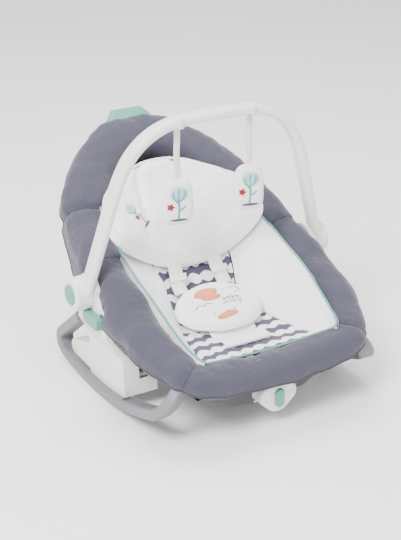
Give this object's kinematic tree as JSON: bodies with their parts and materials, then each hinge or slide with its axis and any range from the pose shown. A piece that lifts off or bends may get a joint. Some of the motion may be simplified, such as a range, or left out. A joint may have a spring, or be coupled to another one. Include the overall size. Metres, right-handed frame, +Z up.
{
  "type": "rocking bouncer seat",
  "caption": "Baby bouncer seat on two rocker rails, with a padded reclining back, a toy arch with hanging toys, a harness and a vibration unit.",
  "frame": {"origin": "on the floor, under the middle of the seat's box", "axes": "+X across the seat, -Y towards the foot end, +Z up"},
  "size_m": [0.54, 0.6112, 0.515],
  "materials": {
    "cover_fabric": "woven",
    "lining_fabric": "woven",
    "white_fabric": "soft knit",
    "print_fabric": "printed",
    "webbing": "woven webbing",
    "white_plastic": "satin",
    "mint_plastic": "satin",
    "grey_plastic": "fine grain",
    "dark_plastic": "fine grain",
    "steel": "powder coat",
    "fastener_steel": "zinc",
    "board": "plain",
    "cell": "satin"
  },
  "bodies": {
    "base": {"rail_screws": "fastener_steel", "post_screws": "fastener_steel", "cross_tube": "steel", "hinge_pins": "fastener_steel", "seat_tube": "steel", "seat_cover": "cover_fabric", "seat_insert": "print_fabric", "seat_board": "board", "underside_cover": "lining_fabric", "harness_pad": "white_fabric", "buckle_body": "dark_plastic", "crotch_strap": "webbing", "unit_front": "white_plastic", "unit_back": "white_plastic", "unit_screws": "fastener_steel", "unit_bracket": "steel", "battery_cells": "cell", "motor": "fastener_steel", "rocker_rail_left": "grey_plastic", "side_post_outer_left": "white_plastic", "side_post_inner_left": "white_plastic", "seat_bracket_left": "steel", "waist_strap_left": "webbing", "rocker_rail_right": "grey_plastic", "side_post_outer_right": "white_plastic", "side_post_inner_right": "white_plastic", "seat_bracket_right": "steel", "waist_strap_right": "webbing"},
    "backrest": {"back_tube": "steel", "pull_cables": "fastener_steel", "back_cover": "cover_fabric", "back_insert": "white_fabric", "back_board": "board", "head_pillow": "white_fabric", "handle_collar": "dark_plastic", "hinge_plate_left": "steel", "shoulder_pad_left": "white_fabric", "hinge_plate_right": "steel", "shoulder_pad_right": "white_fabric"},
    "recline_handle": {"recline_handle": "mint_plastic"},
    "toy_bar": {"toy_bar": "white_plastic"},
    "lock_bolt_left": {"lock_bolt_left": "fastener_steel"},
    "toy_left": {"toy_strap_left": "webbing", "toy_left": "white_fabric"},
    "hub_button_left": {"hub_button_left": "mint_plastic"},
    "release_latch_left": {"release_latch_left": "mint_plastic"},
    "lock_bolt_right": {"lock_bolt_right": "fastener_steel"},
    "toy_right": {"toy_strap_right": "webbing", "toy_right": "white_fabric"},
    "hub_button_right": {"hub_button_right": "mint_plastic"},
    "release_latch_right": {"release_latch_right": "mint_plastic"},
    "vibration_switch": {"vibration_switch": "mint_plastic"},
    "battery_door": {"battery_door": "white_plastic"},
    "motor_weight": {"motor_weight": "fastener_steel"},
    "buckle_button": {"buckle_button": "dark_plastic"}
  },
  "joints": [
    {"name": "recline", "type": "hinge", "parent": "base", "child": "backrest", "pos_m": [0, -0.0236, 0.206], "axis": [1, 0, 0], "range_deg": [-8, 8]},
    {"name": "handle_pull", "type": "slide", "parent": "backrest", "child": "recline_handle", "axis": [0, 0.7912, 0.6115], "range_m": [0, 0.008], "stiffness_N_per_m": 900, "springref_m": -0.002},
    {"name": "lock_bolt_left_slide", "type": "slide", "parent": "backrest", "child": "lock_bolt_left", "axis": [1, 0, 0], "range_m": [0, 0.0065]},
    {"name": "lock_bolt_right_slide", "type": "slide", "parent": "backrest", "child": "lock_bolt_right", "axis": [-1, 0, 0], "range_m": [0, 0.0065]},
    {"name": "toy_bar_swing", "type": "hinge", "parent": "base", "child": "toy_bar", "pos_m": [0, -0.0236, 0.206], "axis": [1, 0, 0], "range_deg": [-20, 30]},
    {"name": "toy_left_swing", "type": "hinge", "parent": "toy_bar", "child": "toy_left", "pos_m": [-0.073, -0.06375, 0.4935], "axis": [1, 0, 0], "range_deg": [-20, 20]},
    {"name": "toy_right_swing", "type": "hinge", "parent": "toy_bar", "child": "toy_right", "pos_m": [0.073, -0.06375, 0.4935], "axis": [1, 0, 0], "range_deg": [-20, 20]},
    {"name": "hub_button_left_push", "type": "slide", "parent": "toy_bar", "child": "hub_button_left", "axis": [1, 0, 0], "range_m": [0, 0.003], "stiffness_N_per_m": 900},
    {"name": "release_latch_left_push", "type": "slide", "parent": "base", "child": "release_latch_left", "axis": [1, 0, 0], "range_m": [0, 0.006], "stiffness_N_per_m": 900},
    {"name": "hub_button_right_push", "type": "slide", "parent": "toy_bar", "child": "hub_button_right", "axis": [-1, 0, 0], "range_m": [0, 0.003], "stiffness_N_per_m": 900},
    {"name": "release_latch_right_push", "type": "slide", "parent": "base", "child": "release_latch_right", "axis": [-1, 0, 0], "range_m": [0, 0.006], "stiffness_N_per_m": 900},
    {"name": "switch_slide", "type": "slide", "parent": "base", "child": "vibration_switch", "axis": [0, 0, 1], "range_m": [-0.003, 0.003]},
    {"name": "battery_door_slide", "type": "slide", "parent": "base", "child": "battery_door", "axis": [0, 0, -1], "range_m": [0, 0.02]},
    {"name": "motor_spin", "type": "hinge", "parent": "base", "child": "motor_weight", "pos_m": [0.008, -0.2815, 0.073], "axis": [1, 0, 0], "continuous": true},
    {"name": "buckle_button_push", "type": "slide", "parent": "base", "child": "buckle_button", "axis": [0, 1, 0], "range_m": [0, 0.003], "stiffness_N_per_m": 600}
  ],
  "couplings": [
    {"joint": "lock_bolt_left_slide", "follows": "handle_pull", "ratio": 0.8125},
    {"joint": "lock_bolt_right_slide", "follows": "handle_pull", "ratio": 0.8125}
  ]
}
